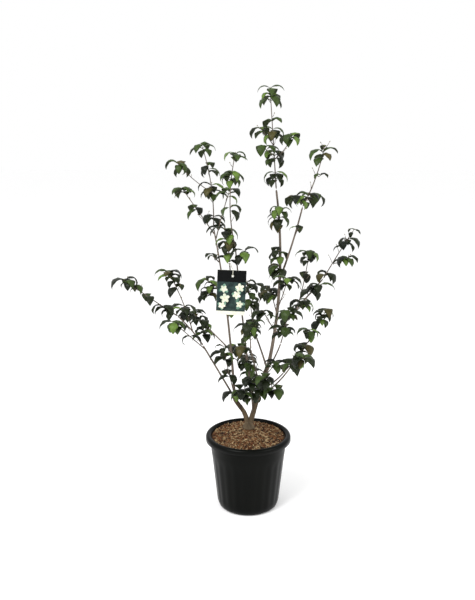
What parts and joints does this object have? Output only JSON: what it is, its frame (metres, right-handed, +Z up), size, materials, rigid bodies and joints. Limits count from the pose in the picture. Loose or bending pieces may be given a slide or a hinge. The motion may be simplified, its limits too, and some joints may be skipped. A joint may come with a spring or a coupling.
{
  "type": "potted dogwood shrub",
  "caption": "Young multi-stemmed dogwood with drooping leaf clusters, growing in a black plastic nursery pot topped with bark, with a picture label tied to a stem.",
  "frame": {"origin": "centre of the pot's flat underside, on the ground", "axes": "+Z up along the pot's axis; the side seen in the picture, with the label in front of the stems, faces -Y; +X is to the right of that view"},
  "size_m": [0.8044, 0.6282, 1.4571],
  "materials": {
    "nursery_pot": "satin black moulded polypropylene",
    "potting_mix": "moist dark potting mix",
    "bark_mulch": "shredded brown bark",
    "old_bark": "matt grey-brown bark",
    "young_bark": "smooth mauve-grey young bark",
    "dogwood_leaf": "satin dark green leaves",
    "label_card": "printed satin plastic card",
    "label_tie": "pale plastic tie"
  },
  "bodies": {
    "root": {"pot": "nursery_pot", "root_ball": "potting_mix", "mulch": "bark_mulch", "trunk": "old_bark", "left_bough": "young_bark", "left_outer_bough": "young_bark", "left_stem": "young_bark", "back_left_bough": "young_bark", "centre_stem": "young_bark", "middle_stem": "young_bark", "front_stem": "young_bark", "inner_bough": "young_bark", "leader": "young_bark", "right_stem": "young_bark", "right_bough": "young_bark", "right_low_bough": "young_bark", "right_back_bough": "young_bark", "mid_right_bough": "young_bark", "left_outer_foliage": "dogwood_leaf", "left_upper_foliage": "dogwood_leaf", "left_low_foliage": "dogwood_leaf", "back_left_foliage": "dogwood_leaf", "left_stem_top_foliage": "dogwood_leaf", "upper_left_foliage": "dogwood_leaf", "upper_left_inner_foliage": "dogwood_leaf", "left_stem_spur_foliage": "dogwood_leaf", "label_left_foliage": "dogwood_leaf", "under_label_foliage": "dogwood_leaf", "left_stem_low_foliage": "dogwood_leaf", "low_left_foliage": "dogwood_leaf", "middle_foliage": "dogwood_leaf", "centre_top_foliage": "dogwood_leaf", "centre_upper_foliage": "dogwood_leaf", "centre_low_foliage": "dogwood_leaf", "front_foliage": "dogwood_leaf", "inner_foliage": "dogwood_leaf", "leader_left_foliage": "dogwood_leaf", "leader_inner_foliage": "dogwood_leaf", "leader_right_foliage": "dogwood_leaf", "leader_low_foliage": "dogwood_leaf", "leader_mid_foliage": "dogwood_leaf", "leader_top_foliage": "dogwood_leaf", "right_top_foliage": "dogwood_leaf", "right_stem_spur_foliage": "dogwood_leaf", "right_outer_foliage": "dogwood_leaf", "right_mid_foliage": "dogwood_leaf", "right_thin_foliage": "dogwood_leaf", "right_crook_foliage": "dogwood_leaf", "mid_right_foliage": "dogwood_leaf", "fork_spur_foliage": "dogwood_leaf", "right_low_foliage": "dogwood_leaf", "right_back_foliage": "dogwood_leaf", "low_back_foliage": "dogwood_leaf", "low_front_left_foliage": "dogwood_leaf", "low_front_right_foliage": "dogwood_leaf", "label_card": "label_card", "label_tie": "label_tie"}
  },
  "joints": []
}
